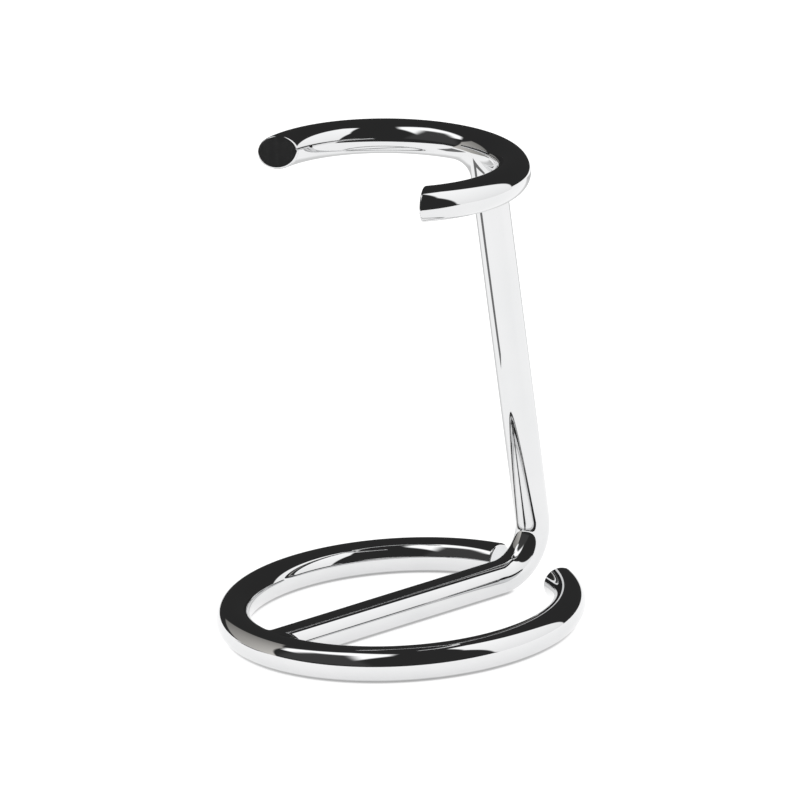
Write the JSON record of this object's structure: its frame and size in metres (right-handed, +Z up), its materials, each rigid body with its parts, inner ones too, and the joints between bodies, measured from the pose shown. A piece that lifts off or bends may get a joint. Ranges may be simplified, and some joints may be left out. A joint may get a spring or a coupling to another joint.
{
  "type": "shaving brush stand",
  "caption": "Chromed round-bar stand for a shaving brush: open base ring, bent upright and an open holder ring that the brush hangs from.",
  "frame": {"origin": "on the table, at the centre of the base ring", "axes": "+Z up, +Y back along the foot of the upright towards the post, -Y the way the holder ring's mouth faces"},
  "size_m": [0.0638, 0.0649, 0.085],
  "materials": {
    "chrome_bar": "polished chrome plate on drawn round steel bar",
    "chrome_braze": "polished chrome plate over a dressed braze fillet"
  },
  "bodies": {
    "root": {"base_ring": "chrome_bar", "upright_rod": "chrome_bar", "holder_ring": "chrome_bar", "base_braze_fillet": "chrome_braze", "holder_braze_fillet": "chrome_braze"}
  },
  "joints": []
}
